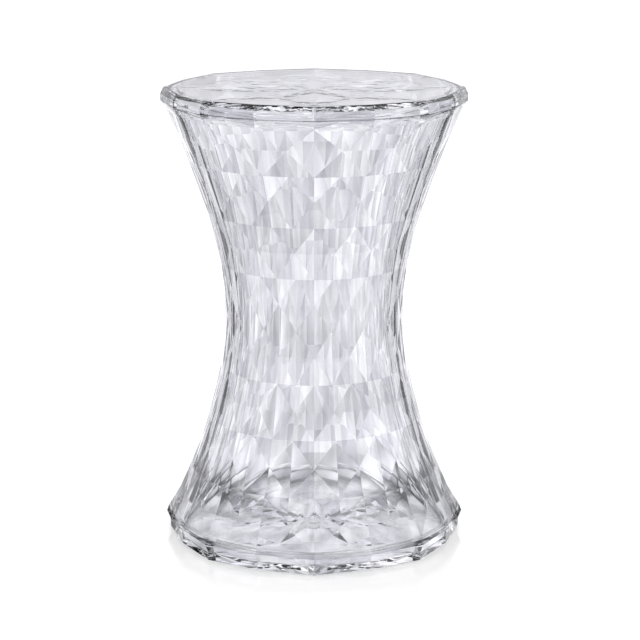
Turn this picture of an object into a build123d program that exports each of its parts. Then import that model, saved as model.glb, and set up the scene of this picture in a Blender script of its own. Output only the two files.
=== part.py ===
from build123d import *
import os
from math import cos, radians, sin, sqrt

os.makedirs("parts", exist_ok=True)

# A clear plastic hourglass stool: a hollow waisted wall cut with flat facets, closed by a seat plate
# above and a base plate below. It stands on z = 0, its axis is Z, and lengths are millimetres.

# Height and joint heights
overall_height = 450.0
seat_bevel_height = 7.0
seat_band_height = 6.5
foot_band_height = 8.0
base_flare_height = 8.5
middle_height = overall_height / 2
seat_seam = overall_height - seat_bevel_height - seat_band_height
base_seam = foot_band_height + base_flare_height

# Rims of sixteen flats: full corners on every eighth of a turn, weaker corners between them
rim_radius = 150.2
seat_bevel_run = 3.2
base_flare_run = 3.6
weak_corner_share = 0.968
seat_top_radius = rim_radius - seat_bevel_run
foot_radius = rim_radius - base_flare_run

# Collars between the rims and the lattice
upper_collar_step = 5.4
lower_collar_step = 2.0
upper_collar_depth = 8.0
lower_collar_depth = 5.5
collar_weak_share = 0.985
upper_collar_radius = rim_radius - upper_collar_step
lower_collar_radius = rim_radius - lower_collar_step

# Lattice of diamonds on the wall
column_count = 32
rows_from_waist = 7
waist_radius = 88.3
shoulder_step = 15.2
shoulder_depth = 43.0
shoulder_radius = rim_radius - shoulder_step
shoulder_rise = middle_height - shoulder_depth
row_pitch = shoulder_rise / rows_from_waist
tip_share = 0.99
crown_share = 1.004

# Hollow inside the wall, and the mouths that the plates' spigots enter
wall_thickness = 6.0
seam_width = 10.2
seat_spigot_height = 2.0
base_spigot_height = 2.0
spigot_clearance = 0.3
spigot_chamfer = 0.6
mouth_radius = rim_radius - seam_width
spigot_radius = mouth_radius - spigot_clearance

# Faceted webs of the plates
lip_width = 3.0
crown_run = 2.5
hub_radius = 46.0
web_column_step = 2
web_ring_count = 3
seat_web_thickness = 8.0
base_web_thickness = 8.0
seat_relief = 1.0
base_relief = 2.0
lip_radius = spigot_radius - lip_width
web_radius = lip_radius - crown_run
web_ring_pitch = (web_radius - hub_radius) / (web_ring_count - 1)

# Length by which a cut runs past the face that it opens
overrun = 2.0


def corner(radius, column, z):
    """Point at one of the columns, which stand at equal angles round the axis."""
    angle = radians(360 * column / column_count)
    return Vector(radius * cos(angle), radius * sin(angle), z)


def rim_corners(z, radius, weak_share):
    """The sixteen corners of a rim: full on every eighth of a turn, weaker between them."""
    columns = range(0, column_count, 2)
    return [corner(radius * (weak_share if column % 4 else 1), column, z) for column in columns]


def rim_ring(z, radius, weak_share):
    """A rim's corners with the middle of each flat between them, so that every column has a point."""
    corners = rim_corners(z, radius, weak_share)
    ring = []
    for here, after in zip(corners, corners[1:] + corners[:1]):
        ring += [here, (here + after) / 2]
    return ring


def rim_outline(radius):
    """Corners of a plate's rim, as flat points for a sketch."""
    return [(point.X, point.Y) for point in rim_corners(0, radius, weak_corner_share)]


def hourglass_radius(z):
    """Radius of the hourglass at a height: a hyperbola, narrowest at half height."""
    rise = (z - middle_height) / shoulder_rise
    return sqrt(waist_radius**2 + (shoulder_radius**2 - waist_radius**2) * rise**2)


def tips_on_odd_columns(rows):
    """Whether the diamonds' tips stand on odd columns in the ring that many rows from the waist."""
    return rows % 4 in (0, 3)


def row_starts_odd(row):
    """Whether the tips at the foot of a row of cells stand on odd columns."""
    return tips_on_odd_columns(row) if row >= 0 else not tips_on_odd_columns(-row - 1)


def lattice_ring(row):
    """Ring of the lattice. Every second ring crosses the diamonds' tips and crowns, which differ a little."""
    z = middle_height + row * row_pitch
    rows = abs(row)
    radii = [hourglass_radius(z)] * column_count
    if rows % 2 or rows == 0:
        odd_tips = tips_on_odd_columns(rows)
        for column in range(column_count):
            radii[column] *= tip_share if bool(column % 2) == odd_tips else crown_share
    return [corner(radius, column, z) for column, radius in enumerate(radii)]


def web_polygon(radius, z):
    """Sixteen points of a plate's web at one height, in line with the corners of the rims."""
    return [corner(radius, column, z) for column in range(0, column_count, web_column_step)]


def web_ring(index, z, relief):
    """Ring of a plate's web: every second point is raised, by turns from ring to ring, but for the last."""
    ring = web_polygon(hub_radius + index * web_ring_pitch, z)
    step = 0 if index == web_ring_count - 1 else relief
    return [point + Vector(0, 0, step * ((turn + index) % 2)) for turn, point in enumerate(ring)]


def facets_between(low, high, low_tips_odd):
    """Two triangles in each cell between two rings, split along the line that joins the tips."""
    triangles = []
    for column in range(len(low)):
        after = (column + 1) % len(low)
        if bool(column % 2) == low_tips_odd:
            triangles.append((low[column], low[after], high[after]))
            triangles.append((low[column], high[after], high[column]))
        else:
            triangles.append((low[column], low[after], high[column]))
            triangles.append((low[after], high[after], high[column]))
    return triangles


def facets_to_centre(ring, centre):
    """A fan of triangles from a ring to the point on the axis."""
    return [(here, after, centre) for here, after in zip(ring, ring[1:] + ring[:1])]


def closed_solid(triangles, caps):
    """Solid bounded by triangles and by flat caps, each given as its corners."""
    return Solid(Shell([Face(Wire.make_polygon(points)) for points in triangles + caps]))


def faceted_body():
    """The wall before it is hollowed: rims, collars and fourteen rows of facets."""
    rows = range(-rows_from_waist, rows_from_waist + 1)
    rings = [lattice_ring(row) for row in rows]
    low_tips_odd = [row_starts_odd(row) for row in rows[:-1]]
    lower_rim = rim_ring(base_seam, rim_radius, weak_corner_share)
    lower_collar = rim_ring(base_seam + lower_collar_depth, lower_collar_radius, collar_weak_share)
    upper_collar = rim_ring(seat_seam - upper_collar_depth, upper_collar_radius, collar_weak_share)
    upper_rim = rim_ring(seat_seam, rim_radius, weak_corner_share)
    rings = [lower_rim, lower_collar] + rings + [upper_collar, upper_rim]
    low_tips_odd = [True, False] + low_tips_odd + [True, False]
    triangles = []
    for low, high, odd in zip(rings, rings[1:], low_tips_odd):
        triangles += facets_between(low, high, odd)
    return closed_solid(triangles, [lower_rim, upper_rim])


def web_hollow(web_face, lip_face, relief, opening):
    """Space beside a plate's web: a fan at the hub, rings of kites, and a plain crown out to the lip."""
    rings = [web_ring(index, web_face, relief) for index in range(web_ring_count)]
    rings.append(web_polygon(lip_radius, lip_face))
    mouth = web_polygon(lip_radius, opening)
    triangles = facets_to_centre(rings[0], Vector(0, 0, web_face + relief))
    for index, (inner, outer) in enumerate(zip(rings, rings[1:])):
        triangles += facets_between(inner, outer, index % 2 == 1)
    triangles += facets_between(rings[-1], mouth, False)
    return closed_solid(triangles, [mouth])


# Wall: faceted outside, turned smooth inside, with a plain mouth at each end
with BuildPart() as hourglass_wall:
    add(faceted_body())
    lower_mouth = base_seam + base_spigot_height
    upper_mouth = seat_seam - seat_spigot_height
    bore = [
        (hourglass_radius(middle_height + row * row_pitch) - wall_thickness, middle_height + row * row_pitch)
        for row in range(-rows_from_waist, rows_from_waist + 1)
    ]
    with BuildSketch(Plane.XZ):
        with BuildLine():
            inside = Spline((mouth_radius, lower_mouth), *bore, (mouth_radius, upper_mouth))
            Polyline(
                inside @ 1,
                (mouth_radius, seat_seam + overrun),
                (0, seat_seam + overrun),
                (0, base_seam - overrun),
                (mouth_radius, base_seam - overrun),
                inside @ 0,
            )
        make_face()
    revolve(axis=Axis.Z, mode=Mode.SUBTRACT)
hourglass_wall.part.label = "hourglass_wall"

# Seat plate: vertical band, bevel up to the flat top, spigot below, faceted underside
with BuildPart() as seat_plate:
    band_top = seat_seam + seat_band_height
    with BuildSketch(Plane.XY.offset(seat_seam)):
        with BuildLine():
            Polyline(rim_outline(rim_radius), close=True)
        make_face()
    extrude(amount=seat_band_height)
    for height, radius in ((band_top, rim_radius), (overall_height, seat_top_radius)):
        with BuildSketch(Plane.XY.offset(height)):
            with BuildLine():
                Polyline(rim_outline(radius), close=True)
            make_face()
    loft(ruled=True)
    with BuildSketch(Plane.XY.offset(seat_seam)):
        Circle(spigot_radius)
    extrude(amount=-seat_spigot_height)
    chamfer(seat_plate.edges().filter_by(GeomType.CIRCLE).sort_by(Axis.Z)[0], spigot_chamfer)
    seat_lip = seat_seam - seat_spigot_height
    seat_web_face = overall_height - seat_web_thickness
    add(web_hollow(seat_web_face, seat_lip, -seat_relief, seat_lip - overrun), mode=Mode.SUBTRACT)
seat_plate.part.label = "seat_plate"

# Base plate: foot band, flare out to the widest ring, spigot above, faceted upper face
with BuildPart() as base_plate:
    with BuildSketch():
        with BuildLine():
            Polyline(rim_outline(foot_radius), close=True)
        make_face()
    extrude(amount=foot_band_height)
    for height, radius in ((foot_band_height, foot_radius), (base_seam, rim_radius)):
        with BuildSketch(Plane.XY.offset(height)):
            with BuildLine():
                Polyline(rim_outline(radius), close=True)
            make_face()
    loft(ruled=True)
    with BuildSketch(Plane.XY.offset(base_seam)):
        Circle(spigot_radius)
    extrude(amount=base_spigot_height)
    chamfer(base_plate.edges().filter_by(GeomType.CIRCLE).sort_by(Axis.Z)[-1], spigot_chamfer)
    base_lip = base_seam + base_spigot_height
    add(web_hollow(base_web_thickness, base_lip, base_relief, base_lip + overrun), mode=Mode.SUBTRACT)
base_plate.part.label = "base_plate"

for piece in (hourglass_wall, seat_plate, base_plate):
    export_step(piece.part, "parts/" + piece.part.label + ".step")
    print(piece.part.label, round(piece.part.volume), len(piece.part.faces()), "faces")
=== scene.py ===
"""Looks of the clear acrylic hourglass stool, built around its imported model.

Lengths are metres unless a name says mm. The stool stands on z = 0 with its axis on Z, and the
camera looks along +Y from the height of a person sitting opposite.
"""
from math import e, pi, radians

import bmesh
import bpy
import numpy as np
from bpy.props import FloatProperty, FloatVectorProperty, IntProperty, PointerProperty
from bpy.types import Operator, Panel, PropertyGroup
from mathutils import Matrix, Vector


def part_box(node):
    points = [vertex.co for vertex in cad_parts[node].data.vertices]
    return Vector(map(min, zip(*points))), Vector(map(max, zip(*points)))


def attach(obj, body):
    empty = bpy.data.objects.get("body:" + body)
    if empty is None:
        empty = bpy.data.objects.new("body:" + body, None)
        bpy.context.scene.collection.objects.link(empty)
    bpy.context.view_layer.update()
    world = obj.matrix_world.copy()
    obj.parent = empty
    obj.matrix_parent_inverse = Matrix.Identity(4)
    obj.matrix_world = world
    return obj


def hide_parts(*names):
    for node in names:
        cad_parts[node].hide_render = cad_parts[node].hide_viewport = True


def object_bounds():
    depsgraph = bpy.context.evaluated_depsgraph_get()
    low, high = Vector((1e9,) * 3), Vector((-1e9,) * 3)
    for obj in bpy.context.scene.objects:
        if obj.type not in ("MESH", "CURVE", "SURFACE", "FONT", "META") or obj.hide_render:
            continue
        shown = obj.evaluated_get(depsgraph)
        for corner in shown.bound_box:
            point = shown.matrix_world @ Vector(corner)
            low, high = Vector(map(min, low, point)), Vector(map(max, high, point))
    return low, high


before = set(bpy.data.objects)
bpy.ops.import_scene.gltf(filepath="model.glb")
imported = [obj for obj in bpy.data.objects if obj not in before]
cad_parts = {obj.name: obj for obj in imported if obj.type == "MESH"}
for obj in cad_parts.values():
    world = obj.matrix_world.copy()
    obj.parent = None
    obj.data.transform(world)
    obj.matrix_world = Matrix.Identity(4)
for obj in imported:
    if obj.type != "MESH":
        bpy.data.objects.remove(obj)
cad_low, cad_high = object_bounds()
wall_low, wall_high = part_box("hourglass_wall")
seat_low, seat_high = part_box("seat_plate")
base_low, base_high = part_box("base_plate")

bl_info = {
    "name": "Clear hourglass stool",
    "version": (1, 0, 0),
    "blender": (4, 5, 0),
    "location": "View3D > Sidebar > Stool",
    "description": "Builds the wall, seat and base of a clear faceted stool and a pale studio",
    "category": "Object",
}

MM = 0.001

# Points of the mouldings: columns of the wall and of the plates' webs, rows of facets from the
# waist to either shoulder, steps of a turned surface in each column, and heights along the bore
COLUMNS = 32
WEB_COLUMNS = 16
ROWS_FROM_WAIST = 7
SMOOTH_STEPS = 4
BORE_HEIGHTS = 97

# Folds under the first angle are flat and dissolve, and those over the second are rounded creases
FLAT_FOLD = radians(0.05)
CREASE_FOLD = radians(0.6)
BEVEL_SEGMENTS = 3
# Edges this near to the seat's height are those of its flat top
TOP_MARGIN = 0.0001

# A face is level where its normal leans less than this from upright, and level and smooth faces get
# one value of painted shade, where 0 is the full painted shade and 1 the clear acrylic
LEVEL_LEAN = 0.001
SMOOTH_PAINTED_TONE = 0.9

# Acrylic: its index, the slow ripple that each mould leaves and the haze of polishing, which is
# finer than a millimetre on the real one and is drawn coarser here, so that it shows
ACRYLIC_IOR = 1.49
WALL_RIPPLE_MM = 22
SEAT_RIPPLE_MM = 30
BASE_RIPPLE_MM = 24
RIPPLE_HEIGHT_MM = 0.008
RIPPLE_DETAIL = 1.5
RIPPLE_ROUGHNESS = 0.45
HAZE_MM = 6
HAZE_DETAIL = 3.0
HAZE_ROUGHNESS = 0.012

# Camera fitted to the photograph, in metres, degrees and pixels
CAMERA_DISTANCE = 2.0955
CAMERA_HEIGHT = 0.7196
CAMERA_PITCH = 13.517
CAMERA_CLIP = (0.05, 200)
FOCAL_PX = 2156.6
AXIS_PX = 314.2
IMAGE_PX = 640
SENSOR_MM = 36

# Floor: half its width, the air under the foot, the lacquer's index, its grain, drawn coarser than
# the real one so that it shows, its range of roughness, and the lift that makes it plain white to
# the camera
WHITE = (1.0, 1.0, 1.0, 1.0)
FLOOR_HALF = 12.0
FLOOR_GAP = 0.0004
LACQUER_IOR = 1.45
FLOOR_GRAIN_MM = 40
FLOOR_ROUGHNESS = (0.10, 0.14)
FLOOR_LIFT = 0.2

# What shows through the plastic, by degrees from the camera's side: pale in front and straight
# behind, with dark cards at both sides of the backdrop, which draw the dark streaks inside the
# silhouettes
THROUGH_SIDE = [
    (85, 0.84), (92, 0.50), (108, 0.46), (113, 0.72), (123, 0.74), (127, 0.10), (140, 0.10),
    (145, 0.74), (154, 0.94), (160, 0.96), (168, 0.84), (174, 0.76), (180, 0.76),
]
THROUGH_LEVELS = [(-degrees, level) for degrees, level in THROUGH_SIDE[::-1]] + THROUGH_SIDE

# What the gloss mirrors: softboxes with dark gaps on both sides of the camera, the brighter ones to
# its right, and a calm backdrop
MIRROR_LEVELS = [
    (-180, 0.37), (-150, 0.34), (-118, 0.22), (-112, 0.0), (-98, 0.0), (-92, 0.14), (-86, 0.20),
    (-78, 0.56), (-70, 0.36), (-58, 0.0), (-54, 0.0), (-48, 0.32), (-34, 0.58), (-26, 0.52),
    (-12, 0.30), (4, 0.36), (12, 0.54), (26, 0.68), (34, 0.62), (42, 0.46), (48, 0.92), (55, 0.45),
    (58, 0.48), (64, 0.88), (70, 0.30), (88, 0.62), (92, 0.16), (100, 0.0), (112, 0.0), (118, 0.22),
    (150, 0.34), (180, 0.37),
]
MIRROR_STRENGTH = 3.4

# Low down the gloss mirrors one calm level, and the softboxes come in over this range of elevation
CALM_LEVEL = 0.31
BOX_RISE = (0.22, 0.30)

# Overhead the studio shows darker through the plastic: levels at both ends of a range of elevation
CEILING_RISE = (0.25, 1.0)
CEILING_LEVELS = (1.34, 0.60)

# The floor through the plastic: its strength, and its shade by metres from the axis, deepest where
# the foot stands
FLOOR_STRENGTH = 1.2
FOOT_SHADE = [(0.0, 0.80), (0.118, 0.80), (0.132, 0.50), (0.150, 0.28), (0.165, 0.50), (0.20, 1.0)]

# Slanting bands of the studio's light: bands round the stool, radians that they climb with each
# radian of elevation or each e-fold of distance on the floor, and the depths of the swing and of
# its own variation
SLANT_BANDS = 9
CROSS_BANDS = 26
CROSS_START = 0.6
SLAT_CLIMB = -16.4
BOX_CLIMB = -14.3
FLOOR_CLIMB = 9.0
SLAT_SWINGS = (0.32, 0.12)
FLOOR_SWINGS = (0.18, 0.10)
MIRROR_SWINGS = (0.25, 0.0)
# Nearest to the axis that the floor's bands reach
NEAREST = 0.05

# The thick rims shut light in by total reflection, and it takes many bounces to leave them
CLEAR_BOUNCES = 40
GLOSSY_BOUNCES = 12


def srgb(code):
    """The three sRGB values of a hex colour, from 0 to 1."""
    return tuple(int(code[place:place + 2], 16) / 255 for place in (1, 3, 5))


def to_linear(colour):
    """Linear light from sRGB values, by the sRGB curve: a short straight toe, then a power."""
    values = np.asarray(colour[:3], dtype=float)
    linear = np.where(values <= 0.04045, values / 12.92, ((values + 0.055) / 1.055) ** 2.4)
    return (*linear.tolist(), 1.0)


class StoolSizes(PropertyGroup):
    """Sizes of the stool's mouldings, as a maker would change them."""

    waist_radius: FloatProperty(
        name="Waist radius", description="Outer radius at half height", default=0.0883,
        unit="LENGTH",
    )
    shoulder_radius: FloatProperty(
        name="Shoulder radius", description="Outer radius at the last row of diamonds",
        default=0.135, unit="LENGTH",
    )
    shoulder_depth: FloatProperty(
        name="Shoulder depth", description="Height from either end to the last row of diamonds",
        default=0.043, unit="LENGTH",
    )
    rim_radius: FloatProperty(
        name="Rim radius", description="Radius to the full corners of both rims",
        default=0.1502, unit="LENGTH",
    )
    seat_top_radius: FloatProperty(
        name="Seat top radius", description="Radius to the full corners of the flat seat",
        default=0.147, unit="LENGTH",
    )
    foot_radius: FloatProperty(
        name="Foot radius", description="Radius to the full corners of the foot",
        default=0.1466, unit="LENGTH",
    )
    seat_bevel: FloatProperty(
        name="Seat bevel", description="Height of the bevel round the seat", default=0.007,
        unit="LENGTH",
    )
    foot_band: FloatProperty(
        name="Foot band", description="Height of the plain band at the foot", default=0.008,
        unit="LENGTH",
    )
    upper_collar_radius: FloatProperty(
        name="Upper collar radius", description="Radius where the wall's facets end below the seat",
        default=0.1448, unit="LENGTH",
    )
    lower_collar_radius: FloatProperty(
        name="Lower collar radius",
        description="Radius where the wall's facets begin above the base",
        default=0.1482, unit="LENGTH",
    )
    upper_collar_depth: FloatProperty(
        name="Upper collar depth", description="Height of the collar below the seat",
        default=0.008, unit="LENGTH",
    )
    lower_collar_depth: FloatProperty(
        name="Lower collar depth", description="Height of the collar above the base",
        default=0.0055, unit="LENGTH",
    )
    weak_corner: FloatProperty(
        name="Weak corner",
        description="Radius of a rim's weaker corners over that of its full ones",
        default=0.968, subtype="FACTOR", min=0.9, max=1.0,
    )
    collar_weak_corner: FloatProperty(
        name="Collar weak corner", description="The same for the collars", default=0.985,
        subtype="FACTOR", min=0.9, max=1.0,
    )
    tip_share: FloatProperty(
        name="Tip share", description="Radius of a diamond's tips over that of the hourglass",
        default=0.99, subtype="FACTOR", min=0.9, max=1.1,
    )
    crown_share: FloatProperty(
        name="Crown share", description="Radius of a diamond's middle over that of the hourglass",
        default=1.004, subtype="FACTOR", min=0.9, max=1.1,
    )
    wall_thickness: FloatProperty(
        name="Wall thickness", description="Thickness of the wall, measured from the hourglass",
        default=0.006, unit="LENGTH",
    )
    mouth_radius: FloatProperty(
        name="Mouth radius", description="Inner radius of the wall at both ends", default=0.14,
        unit="LENGTH",
    )
    spigot_clearance: FloatProperty(
        name="Spigot clearance", description="Gap round each plate's spigot", default=0.0003,
        unit="LENGTH",
    )
    spigot_chamfer: FloatProperty(
        name="Spigot chamfer", description="Chamfer that leads each spigot in", default=0.0006,
        unit="LENGTH",
    )
    lip_radius: FloatProperty(
        name="Lip radius", description="Radius to the inside of each plate's lip", default=0.1367,
        unit="LENGTH",
    )
    web_radius: FloatProperty(
        name="Web radius", description="Radius of the outermost ring of a plate's facets",
        default=0.1342, unit="LENGTH",
    )
    hub_radius: FloatProperty(
        name="Hub radius", description="Radius of the fan at the middle of each plate",
        default=0.046, unit="LENGTH",
    )
    web_rings: IntProperty(
        name="Web rings", description="Rings of facets on each plate's web", default=3, min=2,
        max=12,
    )
    seat_web: FloatProperty(
        name="Seat web", description="Thickness of the seat at its middle", default=0.008,
        unit="LENGTH",
    )
    base_web: FloatProperty(
        name="Base web", description="Thickness of the base at its middle", default=0.008,
        unit="LENGTH",
    )
    seat_relief: FloatProperty(
        name="Seat relief", description="Height of the facets under the seat", default=0.001,
        unit="LENGTH",
    )
    base_relief: FloatProperty(
        name="Base relief", description="Height of the facets on the base", default=0.002,
        unit="LENGTH",
    )
    edge_radius: FloatProperty(
        name="Edge radius", description="Rounding that the mould leaves on every crease",
        default=0.0003, unit="LENGTH",
    )
    seat_edge_radius: FloatProperty(
        name="Seat edge radius", description="Rounding round the flat top of the seat",
        default=0.0017, unit="LENGTH",
    )


class StoolColours(PropertyGroup):
    """Colours of the stool and of the studio, as written in sRGB."""

    acrylic: FloatVectorProperty(
        name="Acrylic", description="Tint of the clear acrylic", subtype="COLOR_GAMMA", size=3,
        default=srgb("#FDFDFE"),
    )
    # Painted shade: this grey, mixed into one side of each diamond, stands in for the shade of
    # facets turned from the light
    painted_shade_grey: FloatVectorProperty(
        name="Shaded facet", description="Tint on the shaded side of each diamond",
        subtype="COLOR_GAMMA", size=3, default=srgb("#D2D3D8"),
    )
    joint: FloatVectorProperty(
        name="Joint", description="Tint of the bonded seams", subtype="COLOR_GAMMA", size=3,
        default=srgb("#F7F7F9"),
    )
    floor: FloatVectorProperty(
        name="Floor", description="White of the studio floor", subtype="COLOR_GAMMA", size=3,
        default=srgb("#FFFFFF"),
    )
    studio: FloatVectorProperty(
        name="Studio", description="White of the lights that the acrylic shows and mirrors",
        subtype="COLOR_GAMMA", size=3, default=srgb("#FBFBFF"),
    )


def add_node(tree, kind, inputs=(), **settings):
    """Adds one node. Settings name its properties; inputs are pairs of an input's name or number
    and the output that feeds it or its own value."""
    node = tree.nodes.new(kind)
    for name, value in settings.items():
        setattr(node, name, value)
    for socket, value in inputs:
        if isinstance(value, bpy.types.NodeSocket):
            tree.links.new(value, node.inputs[socket])
        else:
            node.inputs[socket].default_value = value
    return node


def new_material(name):
    """An empty node material and its tree."""
    material = bpy.data.materials.new(name)
    material.use_nodes = True
    material.node_tree.nodes.clear()
    return material, material.node_tree


def clear_acrylic(name, ripple_mm):
    """Cast clear acrylic, moulded and polished: bends light at 1.49 and stays bright. One side of
    each diamond is painted a trace greyer, a painted shade in place of the light and shade that cut
    facets catch, which sets the facets off from each other as in cut crystal.
    The mould's slow ripple makes what shows through it waver, and fine polishing haze softens the
    glints."""
    colours = bpy.context.scene.stool_colours
    material, tree = new_material(name)
    place = add_node(tree, "ShaderNodeTexCoord").outputs["Object"]
    ripple = add_node(
        tree, "ShaderNodeTexNoise", [
            ("Vector", place), ("Scale", 1 / (ripple_mm * MM)), ("Detail", RIPPLE_DETAIL),
            ("Roughness", RIPPLE_ROUGHNESS),
        ],
    )
    bump = add_node(
        tree, "ShaderNodeBump", [
            ("Height", ripple.outputs["Fac"]), ("Strength", 1.0),
            ("Distance", RIPPLE_HEIGHT_MM * MM),
        ],
    )
    # Painted shade: the face attribute mixes the grey into the base colour on one side of each
    # diamond
    facet = add_node(tree, "ShaderNodeAttribute", attribute_name="facet_painted_shade")
    tint_and_painted_shade = add_node(
        tree, "ShaderNodeMix", [
            ("Factor", facet.outputs["Fac"]), (6, to_linear(colours.painted_shade_grey)),
            (7, to_linear(colours.acrylic)),
        ],
        data_type="RGBA",
    )
    haze = add_node(
        tree, "ShaderNodeTexNoise",
        [("Vector", place), ("Scale", 1 / (HAZE_MM * MM)), ("Detail", HAZE_DETAIL)],
    )
    polish = add_node(
        tree, "ShaderNodeMapRange",
        [("Value", haze.outputs["Fac"]), ("To Min", 0.0), ("To Max", HAZE_ROUGHNESS)],
    )
    surface = add_node(
        tree, "ShaderNodeBsdfPrincipled", [
            ("Base Color", tint_and_painted_shade.outputs[2]),
            ("IOR", ACRYLIC_IOR),
            ("Transmission Weight", 1.0),
            ("Roughness", polish.outputs["Result"]),
            ("Normal", bump.outputs["Normal"]),
        ],
    )
    add_node(tree, "ShaderNodeOutputMaterial", [("Surface", surface.outputs["BSDF"])])
    return material


def bonded_joint(name):
    """Solvent-bonded acrylic joint: the same plastic on both sides, so light crosses it straight,
    and only a trace of grey shows the seam."""
    colours = bpy.context.scene.stool_colours
    material, tree = new_material(name)
    through = add_node(tree, "ShaderNodeBsdfTransparent", [("Color", to_linear(colours.joint))])
    add_node(tree, "ShaderNodeOutputMaterial", [("Surface", through.outputs["BSDF"])])
    return material


def around(radius, z, count=COLUMNS):
    """Points round the axis at equal angles: x = r cos a, y = r sin a. Radius and height are one
    value or one per point."""
    angle = 2 * pi * np.arange(count) / count
    radius = np.broadcast_to(radius, (count,))
    height = np.broadcast_to(z, (count,))
    return np.stack([radius * np.cos(angle), radius * np.sin(angle), height], axis=1)


def rim_ring(radius, z, weak):
    """A rim of sixteen flats: even columns are corners, every second of them weaker, and odd
    columns are the middles of the flats between their neighbours."""
    column = np.arange(COLUMNS)
    ring = around(np.where(column % 4 == 0, radius, radius * weak), z)
    middle = (np.roll(ring, 1, axis=0) + np.roll(ring, -1, axis=0)) / 2
    return np.where((column % 2 == 1)[:, None], middle, ring)


def waist_and_reach(sizes):
    """Height of the waist, halfway up, and the rise from there to the last row of diamonds."""
    waist = (cad_low.z + cad_high.z) / 2
    return waist, waist - sizes.shoulder_depth - cad_low.z


def hourglass(z, sizes):
    """Radius at a height: the hyperbola sqrt(waist^2 + (shoulder^2 - waist^2) rise^2), where rise
    runs from 0 at half height to 1 at the last row of diamonds."""
    middle, reach = waist_and_reach(sizes)
    rise = (np.asarray(z) - middle) / reach
    spread = sizes.shoulder_radius**2 - sizes.waist_radius**2
    return np.sqrt(sizes.waist_radius**2 + spread * rise**2)


def tips_odd(rows):
    """Whether the diamonds' tips stand on odd columns, that many rows from the waist: on every
    fourth row and on the one before it."""
    return rows % 4 in (0, 3)


def lattice_rings(sizes):
    """Rings of the wall's outside from the lower rim to the upper one, and for each row of cells
    whether the tips at its foot stand on odd columns. A ring's radius is the hourglass's; on every
    second ring the tips are drawn in and the crowns between them pushed out by their shares."""
    middle, reach = waist_and_reach(sizes)
    pitch = reach / ROWS_FROM_WAIST
    rows = range(-ROWS_FROM_WAIST, ROWS_FROM_WAIST + 1)
    column = np.arange(COLUMNS)
    rings = []
    for row in rows:
        z = middle + row * pitch
        radius = np.full(COLUMNS, hourglass(z, sizes))
        if row % 2 or row == 0:
            is_tip = (column % 2 == 1) == tips_odd(abs(row))
            radius *= np.where(is_tip, sizes.tip_share, sizes.crown_share)
        rings.append(around(radius, z))
    starts_odd = [tips_odd(row) if row >= 0 else not tips_odd(-row - 1) for row in rows[:-1]]
    weak, collar = sizes.weak_corner, sizes.collar_weak_corner
    below = [
        rim_ring(sizes.rim_radius, wall_low.z, weak),
        rim_ring(sizes.lower_collar_radius, wall_low.z + sizes.lower_collar_depth, collar),
    ]
    above = [
        rim_ring(sizes.upper_collar_radius, wall_high.z - sizes.upper_collar_depth, collar),
        rim_ring(sizes.rim_radius, wall_high.z, weak),
    ]
    return np.array(below + rings + above), [True, False] + starts_odd + [True, False]


class Shell:
    """Rings of points gathered into one mesh: each ring is kept once, and faces join the rings."""

    def __init__(self):
        self.points = []
        self.count = 0
        self.faces = []
        self.kinds = []

    def ring(self, points):
        """Adds a ring and gives the indices of its points."""
        start = self.count
        self.points.append(points)
        self.count += len(points)
        return np.arange(start, self.count)

    def keep(self, faces, kind):
        """Adds faces, each a list of indices, of one kind: facet, flat, smooth, ledge or joint."""
        faces = [list(map(int, face)) for face in faces]
        self.faces += faces
        self.kinds += [kind] * len(faces)

    def facets(self, low, high, starts_odd):
        """Two triangles in each cell between rings of equal count, split from tip to tip."""
        low_next, high_next = np.roll(low, -1), np.roll(high, -1)
        rising = (np.arange(len(low)) % 2 == 1) == starts_odd
        first = np.where(rising, high_next, high)
        self.keep(np.stack([low, low_next, first], axis=1), "facet")
        second = np.where(rising, low, low_next)
        self.keep(np.stack([second, high_next, high], axis=1), "facet")

    def strip(self, low, high, kind):
        """Four-sided faces between rings of equal count."""
        self.keep(np.stack([low, np.roll(low, -1), np.roll(high, -1), high], axis=1), kind)

    def ledge(self, coarse, fine, kind, flip=False):
        """Flat faces between a coarse ring and a finer one with a whole number of points to each of
        its sides."""
        step = len(fine) // len(coarse)
        for side in range(len(coarse)):
            arc = np.take(fine, range(side * step, (side + 1) * step + 1), mode="wrap")
            face = [coarse[side], coarse[(side + 1) % len(coarse)], *arc[::-1]]
            self.keep([face[::-1] if flip else face], kind)

    def fan(self, ring, apex):
        """Triangles from a ring to one point."""
        tip = np.full(len(ring), apex[0])
        self.keep(np.stack([ring, np.roll(ring, -1), tip], axis=1), "facet")


def paint_facet_shade(mesh, sizes):
    """Paints shade into each flat face as a stored value, 0 for the painted shade on one side of a
    diamond and 1 for the bright one: half of 1 + sin(16 azimuth of the normal), with the sign turned
    round at every second ring of diamonds, because those stand one column further round. Level and
    smooth faces have a bright value."""
    count = len(mesh.polygons)
    normals = np.empty(count * 3)
    mesh.polygons.foreach_get("normal", normals)
    normals = normals.reshape(count, 3)
    centres = np.empty(count * 3)
    mesh.polygons.foreach_get("center", centres)
    heights = centres.reshape(count, 3)[:, 2]
    smooth = np.empty(count, dtype=bool)
    mesh.polygons.foreach_get("use_smooth", smooth)
    level = np.hypot(normals[:, 0], normals[:, 1]) < LEVEL_LEAN
    middle, reach = waist_and_reach(sizes)
    diamond = np.floor(np.abs(heights - middle) / (2 * reach / ROWS_FROM_WAIST))
    side = np.where(diamond % 2 == 0, 0.5, -0.5)
    painted_tone = 0.5 + side * np.sin(WEB_COLUMNS * np.arctan2(normals[:, 1], normals[:, 0]))
    painted_tone[smooth | level] = SMOOTH_PAINTED_TONE
    layer = mesh.attributes.new("facet_painted_shade", "FLOAT", "FACE")
    layer.data.foreach_set("value", painted_tone)


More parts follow.
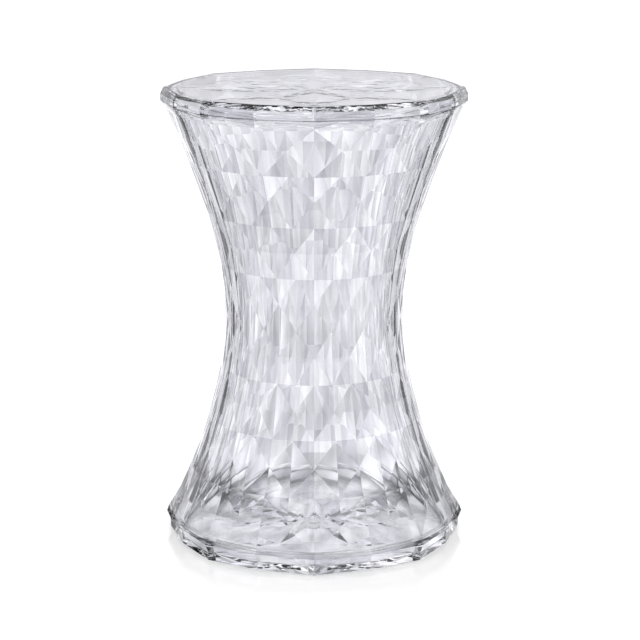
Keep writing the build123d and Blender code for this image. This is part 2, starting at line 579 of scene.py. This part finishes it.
def piece_from(shell, name, materials, sizes):
    """Makes the object: outward faces, smooth shading where the shell says so, the joint's material
    on its bonded faces, a small rounding on the creases between facets and a larger one round the
    seat."""
    mesh = bpy.data.meshes.new(name)
    mesh.from_pydata(np.concatenate(shell.points).tolist(), [], shell.faces)
    for material in materials:
        mesh.materials.append(material)
    for polygon, kind in zip(mesh.polygons, shell.kinds):
        polygon.use_smooth = kind == "smooth"
        polygon.material_index = int(kind == "joint")
    work = bmesh.new()
    work.from_mesh(mesh)
    bmesh.ops.recalc_face_normals(work, faces=work.faces)
    work.faces.ensure_lookup_table()
    cut = {face for face, kind in zip(work.faces, shell.kinds) if kind in ("facet", "flat")}
    flat = [
        edge for edge in work.edges
        if cut.issuperset(edge.link_faces) and edge.calc_face_angle(pi) < FLAT_FOLD
    ]
    bmesh.ops.dissolve_edges(work, edges=flat, use_verts=True)
    weight = work.edges.layers.float.new("bevel_weight_edge")
    crease = sizes.edge_radius / sizes.seat_edge_radius
    for edge in work.edges:
        sides = edge.link_faces
        smooth = any(face.smooth for face in sides)
        if len(sides) == 2 and not smooth and edge.calc_face_angle(0) > CREASE_FOLD:
            at_top = min(point.co.z for point in edge.verts) > seat_high.z - TOP_MARGIN
            edge[weight] = 1.0 if at_top else crease
    work.to_mesh(mesh)
    work.free()
    # Painted shade: greys one side of each diamond through a face attribute
    paint_facet_shade(mesh, sizes)
    piece = bpy.data.objects.new(name, mesh)
    bpy.context.scene.collection.objects.link(piece)
    bevel = piece.modifiers.new("crease rounding", "BEVEL")
    bevel.limit_method = "WEIGHT"
    bevel.width = sizes.seat_edge_radius
    bevel.segments = BEVEL_SEGMENTS
    bevel.use_clamp_overlap = True
    return piece


def finish_piece(piece, node):
    """The piece rides on the stool's one body and stands for its solid."""
    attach(piece, "root")
    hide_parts(node)


def bore_radius(z, sizes):
    """Inner radius: the hourglass less the wall between the shoulders. From there to the mouth, as t
    runs from 0 to 1, it is start + slope run t + (rise - slope run) t^2 (3 - t) / 2, which leaves
    the shoulder at the same slope and ends at the mouth's radius."""
    middle, shoulder = waist_and_reach(sizes)
    away = np.abs(np.asarray(z) - middle)
    start = hourglass(middle + shoulder, sizes) - sizes.wall_thickness
    spread = sizes.shoulder_radius**2 - sizes.waist_radius**2
    slope = spread / (shoulder * sizes.shoulder_radius)
    mouth = np.where(np.asarray(z) > middle, seat_low.z - middle, middle - base_high.z)
    run = mouth - shoulder
    t = np.clip((away - shoulder) / run, 0, 1)
    rise = sizes.mouth_radius - start
    cubic = start + slope * run * t + (rise - slope * run) * t**2 * (3 - t) / 2
    return np.where(away <= shoulder, hourglass(z, sizes) - sizes.wall_thickness, cubic)


class STOOL_OT_wall(Operator):
    """Build the hollow waisted wall with its lattice of facets"""

    bl_idname = "stool.wall"
    bl_label = "Hourglass wall"

    def execute(self, context):
        sizes = context.scene.stool_sizes
        shell = Shell()
        points, starts_odd = lattice_rings(sizes)
        outside = [shell.ring(ring) for ring in points]
        for low, high, odd in zip(outside, outside[1:], starts_odd):
            shell.facets(low, high, odd)
        fine = COLUMNS * SMOOTH_STEPS
        heights = np.linspace(base_high.z, seat_low.z, BORE_HEIGHTS)
        radii = bore_radius(heights, sizes)
        bore = [shell.ring(around(radius, z, fine)) for radius, z in zip(radii, heights)]
        for low, high in zip(bore, bore[1:]):
            shell.strip(high, low, "smooth")
        foot = shell.ring(around(sizes.mouth_radius, wall_low.z, fine))
        head = shell.ring(around(sizes.mouth_radius, wall_high.z, fine))
        shell.strip(bore[0], foot, "smooth")
        shell.strip(head, bore[-1], "smooth")
        shell.ledge(outside[0], foot, "joint", flip=True)
        shell.ledge(outside[-1], head, "joint")
        materials = [
            clear_acrylic("wall_cast_acrylic", WALL_RIPPLE_MM), bonded_joint("wall_solvent_bond"),
        ]
        wall = piece_from(shell, "wall_shell", materials, sizes)
        finish_piece(wall, "hourglass_wall")
        return {"FINISHED"}


def add_web(shell, sizes, spigot_end, lip_z, web_z, relief):
    """Rings of a plate's faceted web, from its lip to the fan at its hub. Ring i has radius hub + i
    pitch, and its height alternates by the relief from column to column and from ring to ring, but
    for the last, which is level."""
    pitch = (sizes.web_radius - sizes.hub_radius) / (sizes.web_rings - 1)
    column = np.arange(WEB_COLUMNS)
    lip = shell.ring(around(sizes.lip_radius, lip_z, WEB_COLUMNS))
    shell.ledge(lip, spigot_end, "ledge", flip=True)
    rings = []
    for index in range(sizes.web_rings):
        step = relief if index < sizes.web_rings - 1 else 0
        height = web_z + step * ((column + index) % 2)
        rings.append(shell.ring(around(sizes.hub_radius + index * pitch, height, WEB_COLUMNS)))
    rings.append(lip)
    for index, (inner, outer) in enumerate(zip(rings, rings[1:])):
        shell.facets(inner, outer, index % 2 == 1)
    shell.fan(rings[0], shell.ring(np.array([[0, 0, web_z + relief]])))


def build_plate(name, materials, sizes, rims, spigot_z, web_z, relief):
    """A plate from its rims, outermost face first and seam last: flats between them, a bonded
    flange at the seam, then the spigot with its chamfer, the lip and the faceted web."""
    shell = Shell()
    rings = [shell.ring(rim_ring(radius, z, sizes.weak_corner)) for radius, z in rims]
    shell.keep([rings[0]], "flat")
    for outer, inner in zip(rings, rings[1:]):
        shell.strip(outer, inner, "flat")
    seam_z = rims[-1][1]
    fine = COLUMNS * SMOOTH_STEPS
    spigot = sizes.mouth_radius - sizes.spigot_clearance
    chamfer = sizes.spigot_chamfer if spigot_z > seam_z else -sizes.spigot_chamfer
    root = shell.ring(around(spigot, seam_z, fine))
    shoulder = shell.ring(around(spigot, spigot_z - chamfer, fine))
    end = shell.ring(around(spigot - sizes.spigot_chamfer, spigot_z, fine))
    shell.ledge(rings[-1], root, "joint")
    shell.strip(root, shoulder, "smooth")
    shell.strip(shoulder, end, "smooth")
    add_web(shell, sizes, end, spigot_z, web_z, relief)
    return piece_from(shell, name, materials, sizes)


class STOOL_OT_seat(Operator):
    """Build the seat plate with its faceted underside"""

    bl_idname = "stool.seat"
    bl_label = "Seat plate"

    def execute(self, context):
        sizes = context.scene.stool_sizes
        rims = [
            (sizes.seat_top_radius, seat_high.z),
            (sizes.rim_radius, seat_high.z - sizes.seat_bevel),
            (sizes.rim_radius, wall_high.z),
        ]
        materials = [
            clear_acrylic("seat_cast_acrylic", SEAT_RIPPLE_MM), bonded_joint("seat_solvent_bond"),
        ]
        seat = build_plate(
            "seat_shell", materials, sizes, rims, seat_low.z, seat_high.z - sizes.seat_web,
            -sizes.seat_relief,
        )
        finish_piece(seat, "seat_plate")
        return {"FINISHED"}


class STOOL_OT_base(Operator):
    """Build the base plate with its faceted upper face"""

    bl_idname = "stool.base"
    bl_label = "Base plate"

    def execute(self, context):
        sizes = context.scene.stool_sizes
        rims = [
            (sizes.foot_radius, base_low.z),
            (sizes.foot_radius, base_low.z + sizes.foot_band),
            (sizes.rim_radius, wall_low.z),
        ]
        materials = [
            clear_acrylic("base_cast_acrylic", BASE_RIPPLE_MM), bonded_joint("base_solvent_bond"),
        ]
        base = build_plate(
            "base_shell", materials, sizes, rims, base_high.z, base_low.z + sizes.base_web,
            sizes.base_relief,
        )
        finish_piece(base, "base_plate")
        return {"FINISHED"}


def make_camera():
    """Camera fitted to the photograph: its height, distance and pitch, and a small shift that puts
    the stool's axis at its column of pixels."""
    data = bpy.data.cameras.new("photo_camera")
    data.sensor_width = SENSOR_MM
    data.lens = FOCAL_PX * SENSOR_MM / IMAGE_PX
    data.shift_x = (IMAGE_PX / 2 - AXIS_PX) / IMAGE_PX
    data.clip_start, data.clip_end = CAMERA_CLIP
    camera = bpy.data.objects.new("photo_camera", data)
    camera.location = (0, -CAMERA_DISTANCE, CAMERA_HEIGHT)
    camera.rotation_euler = (radians(90 - CAMERA_PITCH), 0, 0)
    bpy.context.scene.collection.objects.link(camera)
    bpy.context.scene.camera = camera


def polar_place(tree, place):
    """Node chain for a point or direction round the stool's axis: its azimuth in turns, which is
    atan2(right, front) / 2 pi + 0.5 and runs from straight behind, through the left, to straight
    behind again, its distance from the axis and its height."""
    axes = add_node(tree, "ShaderNodeSeparateXYZ", [("Vector", place)])
    right, back, height = axes.outputs
    front = add_node(tree, "ShaderNodeMath", [(0, back), (1, -1.0)], operation="MULTIPLY")
    angle = add_node(
        tree, "ShaderNodeMath", [(0, right), (1, front.outputs[0])], operation="ARCTAN2"
    )
    turns = add_node(
        tree, "ShaderNodeMath", [(0, angle.outputs[0]), (1, 0.5 / pi), (2, 0.5)],
        operation="MULTIPLY_ADD",
    )
    flat = add_node(tree, "ShaderNodeCombineXYZ", [("X", right), ("Y", back)])
    away = add_node(tree, "ShaderNodeVectorMath", [(0, flat.outputs[0])], operation="LENGTH")
    return turns.outputs[0], away.outputs["Value"], height


def level_ramp(tree, place, levels):
    """Brightness along a value from 0 to 1: pairs of place and level, joined by straight lines."""
    ramp = add_node(tree, "ShaderNodeValToRGB", [("Fac", place)])
    stops = ramp.color_ramp.elements
    while len(stops) < len(levels):
        stops.new(1.0)
    for stop, (position, level) in zip(stops, levels):
        stop.position = position
        stop.color = (level, level, level, 1)
    return ramp.outputs["Color"]


def level_round(tree, turns, levels):
    """Brightness by azimuth: pairs of degrees from the camera's side, positive to its right, and
    level."""
    return level_ramp(tree, turns, [(degrees / 360 + 0.5, level) for degrees, level in levels])


def banded(tree, level, turns, run, climb, swings):
    """A level that swells and fades in soft slanting bands, as where lamps light the studio through
    slats: level (1 + depth sin(climb run + 9 azimuth)), where depth is swing + cross swing
    sin(0.6 + 26 azimuth)."""
    swing, cross_swing = swings
    climbed = add_node(tree, "ShaderNodeMath", [(0, run), (1, climb)], operation="MULTIPLY")
    slant = add_node(
        tree, "ShaderNodeMath",
        [(0, turns), (1, SLANT_BANDS * 2 * pi), (2, climbed.outputs[0])],
        operation="MULTIPLY_ADD",
    )
    swell = add_node(tree, "ShaderNodeMath", [(0, slant.outputs[0])], operation="SINE")
    cross = add_node(
        tree, "ShaderNodeMath", [(0, turns), (1, CROSS_BANDS * 2 * pi), (2, CROSS_START)],
        operation="MULTIPLY_ADD",
    )
    change = add_node(tree, "ShaderNodeMath", [(0, cross.outputs[0])], operation="SINE")
    depth = add_node(
        tree, "ShaderNodeMath", [(0, change.outputs[0]), (1, cross_swing), (2, swing)],
        operation="MULTIPLY_ADD",
    )
    wave = add_node(
        tree, "ShaderNodeMath", [(0, swell.outputs[0]), (1, depth.outputs[0]), (2, 1.0)],
        operation="MULTIPLY_ADD",
    )
    swung = add_node(
        tree, "ShaderNodeMath", [(0, level), (1, wave.outputs[0])], operation="MULTIPLY"
    )
    return swung.outputs[0]


def studio_light(tree, kind, level, strength):
    """Light in the studio's colour, as bright as a level times a strength: an Emission on the
    floor, a Background in the world."""
    colours = bpy.context.scene.stool_colours
    bright = add_node(tree, "ShaderNodeMath", [(0, level), (1, strength)], operation="MULTIPLY")
    light = add_node(
        tree, kind, [("Color", to_linear(colours.studio)), ("Strength", bright.outputs[0])]
    )
    return light.outputs[0]


def by_ray(tree, plain, mirrored, through):
    """One shader out of three, by the ray that meets it: a mirrored ray, a ray that came through
    the plastic, or any other. A ray that was bent counts as mirrored too, so it is asked for
    last."""
    ray = add_node(tree, "ShaderNodeLightPath")
    dry = add_node(
        tree, "ShaderNodeMixShader", [(0, ray.outputs["Is Glossy Ray"]), (1, plain), (2, mirrored)]
    )
    seen = add_node(
        tree, "ShaderNodeMixShader",
        [(0, ray.outputs["Is Transmission Ray"]), (1, dry.outputs["Shader"]), (2, through)],
    )
    return seen.outputs["Shader"]


def make_floor():
    """Wide floor of sprayed white lacquer, a hair under the foot as air lies there, with a soft
    sheen that mirrors the stool faintly. The camera sees it lifted to plain white, and the lift
    lights nothing. Through the plastic it shows its bands of light and, under the foot, its
    shade."""
    colours = bpy.context.scene.stool_colours
    mesh = bpy.data.meshes.new("studio_floor")
    signs = ((-1, -1), (1, -1), (1, 1), (-1, 1))
    corners = [(x * FLOOR_HALF, y * FLOOR_HALF, -FLOOR_GAP) for x, y in signs]
    mesh.from_pydata(corners, [], [(0, 1, 2, 3)])
    material, tree = new_material("white_lacquer_floor")
    place = add_node(tree, "ShaderNodeTexCoord").outputs["Object"]
    grain = add_node(
        tree, "ShaderNodeTexNoise", [("Vector", place), ("Scale", 1 / (FLOOR_GRAIN_MM * MM))]
    )
    smoothest, roughest = FLOOR_ROUGHNESS
    gloss = add_node(
        tree, "ShaderNodeMapRange",
        [("Value", grain.outputs["Fac"]), ("To Min", smoothest), ("To Max", roughest)],
    )
    camera_ray = add_node(tree, "ShaderNodeLightPath").outputs["Is Camera Ray"]
    lift = add_node(
        tree, "ShaderNodeMath", [(0, camera_ray), (1, FLOOR_LIFT)], operation="MULTIPLY"
    )
    surface = add_node(
        tree, "ShaderNodeBsdfPrincipled", [
            ("Base Color", to_linear(colours.floor)), ("IOR", LACQUER_IOR),
            ("Roughness", gloss.outputs["Result"]), ("Emission Color", WHITE),
            ("Emission Strength", lift.outputs[0]),
        ],
    )
    turns, away, _ = polar_place(tree, place)
    near = add_node(tree, "ShaderNodeMath", [(0, away), (1, NEAREST)], operation="MAXIMUM")
    run = add_node(
        tree, "ShaderNodeMath", [(0, near.outputs[0]), (1, e)], operation="LOGARITHM"
    ).outputs[0]
    pale = level_round(tree, turns, THROUGH_LEVELS)
    level = banded(tree, pale, turns, run, FLOOR_CLIMB, FLOOR_SWINGS)
    shaded = add_node(
        tree, "ShaderNodeMath", [(0, level), (1, level_ramp(tree, away, FOOT_SHADE))],
        operation="MULTIPLY",
    )
    through = studio_light(tree, "ShaderNodeEmission", shaded.outputs[0], FLOOR_STRENGTH)
    boxes = level_round(tree, turns, MIRROR_LEVELS)
    mirror = banded(tree, boxes, turns, run, FLOOR_CLIMB, MIRROR_SWINGS)
    mirrored = studio_light(tree, "ShaderNodeEmission", mirror, MIRROR_STRENGTH)
    seen = by_ray(tree, surface.outputs["BSDF"], mirrored, through)
    add_node(tree, "ShaderNodeOutputMaterial", [("Surface", seen)])
    mesh.materials.append(material)
    floor = bpy.data.objects.new("studio_floor", mesh)
    bpy.context.scene.collection.objects.link(floor)


def make_world():
    """White studio: plain white to the camera and on dull surfaces. Through the clear plastic the
    studio is pale with dark cards and darker overhead. Its gloss mirrors the softboxes, and low
    down, as on the flat seat, the calm backdrop."""
    world = bpy.data.worlds.new("studio")
    bpy.context.scene.world = world
    world.use_nodes = True
    tree = world.node_tree
    tree.nodes.clear()
    place = add_node(tree, "ShaderNodeTexCoord").outputs["Generated"]
    turns, _, height = polar_place(tree, place)
    rise = add_node(tree, "ShaderNodeMath", [(0, height)], operation="ARCSINE").outputs[0]
    white = add_node(tree, "ShaderNodeBackground", [("Color", WHITE), ("Strength", 1.0)])
    ceiling_start, ceiling_end = CEILING_RISE
    side_level, top_level = CEILING_LEVELS
    ceiling = add_node(
        tree, "ShaderNodeMapRange", [
            ("Value", rise), ("From Min", ceiling_start), ("From Max", ceiling_end),
            ("To Min", side_level), ("To Max", top_level),
        ],
        interpolation_type="SMOOTHSTEP",
    )
    pale = level_round(tree, turns, THROUGH_LEVELS)
    level = banded(tree, pale, turns, rise, SLAT_CLIMB, SLAT_SWINGS)
    through = studio_light(tree, "ShaderNodeBackground", level, ceiling.outputs["Result"])
    box_start, box_end = BOX_RISE
    steep = add_node(
        tree, "ShaderNodeMapRange",
        [("Value", rise), ("From Min", box_start), ("From Max", box_end)],
        interpolation_type="SMOOTHSTEP",
    )
    boxes = level_round(tree, turns, MIRROR_LEVELS)
    above = add_node(
        tree, "ShaderNodeMath", [(0, boxes), (1, CALM_LEVEL)], operation="SUBTRACT"
    )
    calmed = add_node(
        tree, "ShaderNodeMath",
        [(0, above.outputs[0]), (1, steep.outputs["Result"]), (2, CALM_LEVEL)],
        operation="MULTIPLY_ADD",
    )
    mirror = banded(tree, calmed.outputs[0], turns, rise, BOX_CLIMB, MIRROR_SWINGS)
    mirrored = studio_light(tree, "ShaderNodeBackground", mirror, MIRROR_STRENGTH)
    seen = by_ray(tree, white.outputs["Background"], mirrored, through)
    add_node(tree, "ShaderNodeOutputWorld", [("Surface", seen)])


class STOOL_OT_stage(Operator):
    """Build the camera, the white floor and the soft studio light"""

    bl_idname = "stool.stage"
    bl_label = "Studio"

    def execute(self, context):
        make_camera()
        make_floor()
        make_world()
        scene = context.scene
        scene.view_settings.view_transform = "Standard"
        scene.cycles.max_bounces = CLEAR_BOUNCES
        scene.cycles.transmission_bounces = CLEAR_BOUNCES
        scene.cycles.transparent_max_bounces = CLEAR_BOUNCES
        scene.cycles.glossy_bounces = GLOSSY_BOUNCES
        return {"FINISHED"}


class STOOL_PT_panel(Panel):
    """Buttons for the stool's pieces and its studio"""

    bl_label = "Clear hourglass stool"
    bl_space_type = "VIEW_3D"
    bl_region_type = "UI"
    bl_category = "Stool"

    def draw(self, context):
        layout = self.layout
        for operator in (STOOL_OT_wall, STOOL_OT_seat, STOOL_OT_base, STOOL_OT_stage):
            layout.operator(operator.bl_idname)
        for group in (context.scene.stool_sizes, context.scene.stool_colours):
            for name in group.__annotations__:
                layout.prop(group, name)


CLASSES = (
    StoolSizes, StoolColours, STOOL_OT_wall, STOOL_OT_seat, STOOL_OT_base, STOOL_OT_stage,
    STOOL_PT_panel,
)


def register():
    for made in CLASSES:
        bpy.utils.register_class(made)
    bpy.types.Scene.stool_sizes = PointerProperty(type=StoolSizes)
    bpy.types.Scene.stool_colours = PointerProperty(type=StoolColours)


def unregister():
    del bpy.types.Scene.stool_colours
    del bpy.types.Scene.stool_sizes
    for made in reversed(CLASSES):
        bpy.utils.unregister_class(made)


def main():
    """Registers the classes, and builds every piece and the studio."""
    register()
    bpy.ops.stool.wall()
    bpy.ops.stool.seat()
    bpy.ops.stool.base()
    bpy.ops.stool.stage()


if __name__ == "__main__":
    main()
